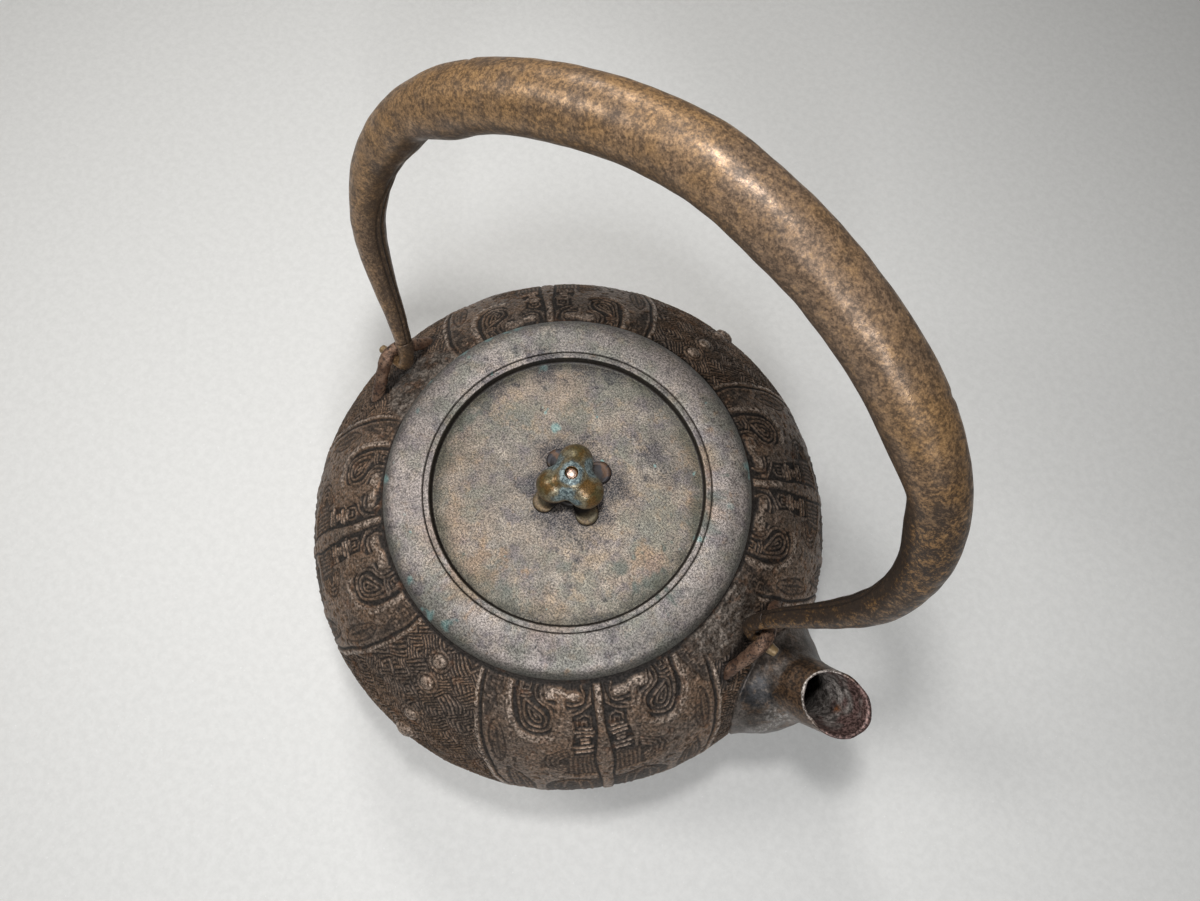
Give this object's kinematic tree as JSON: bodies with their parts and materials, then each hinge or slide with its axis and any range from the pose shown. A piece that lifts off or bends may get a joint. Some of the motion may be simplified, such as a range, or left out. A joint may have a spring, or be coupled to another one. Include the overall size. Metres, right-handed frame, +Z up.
{
  "type": "kettle",
  "caption": "Round cast iron kettle with a patterned body, a short spout, a sunk bronze lid with a lobed knob, and a tall hollow bail handle that swings in shoulder lugs.",
  "frame": {"origin": "centre of the flat base, on the surface the kettle stands on", "axes": "+Z up along the body's axis, +X towards the spout; the bail turns about a line parallel to X and leans towards +Y at rest"},
  "size_m": [0.2022, 0.18, 0.2056],
  "materials": {
    "cast_body": "cast relief, dark brown with worn grey ridges",
    "cast_spout": "smooth cast, brown and grey-black",
    "lug_iron": "forged, pitted and brown",
    "bail_iron": "forged, tan with dark speckles, satin",
    "lid_bronze": "satin grey-brown bronze with turquoise spots",
    "knob_bronze": "amber bronze with blue-green in the hollows",
    "rivet_copper": "bright worn copper"
  },
  "bodies": {
    "kettle": {"kettle_body": "cast_body", "spout": "cast_spout", "lug_front": "lug_iron", "lug_rear": "lug_iron"},
    "lid": {"lid": "lid_bronze", "knob_seat": "knob_bronze", "knob_rivet": "rivet_copper", "rivet_washer": "rivet_copper"},
    "knob": {"knob": "knob_bronze"},
    "bail": {"bail_handle": "bail_iron", "bail_hook_front": "bail_iron", "bail_hook_rear": "bail_iron"}
  },
  "joints": [
    {"name": "bail_swing", "type": "hinge", "parent": "kettle", "child": "bail", "pos_m": [0, 0, 0.0864], "axis": [-1, 0, 0], "range_deg": [-96, 52]},
    {"name": "lid_lift", "type": "slide", "parent": "kettle", "child": "lid", "axis": [0, 0, 1], "range_m": [0, 0.06]},
    {"name": "knob_spin", "type": "hinge", "parent": "lid", "child": "knob", "pos_m": [0.001, 0.0008, 0.1], "axis": [0, 0, 1], "continuous": true}
  ]
}
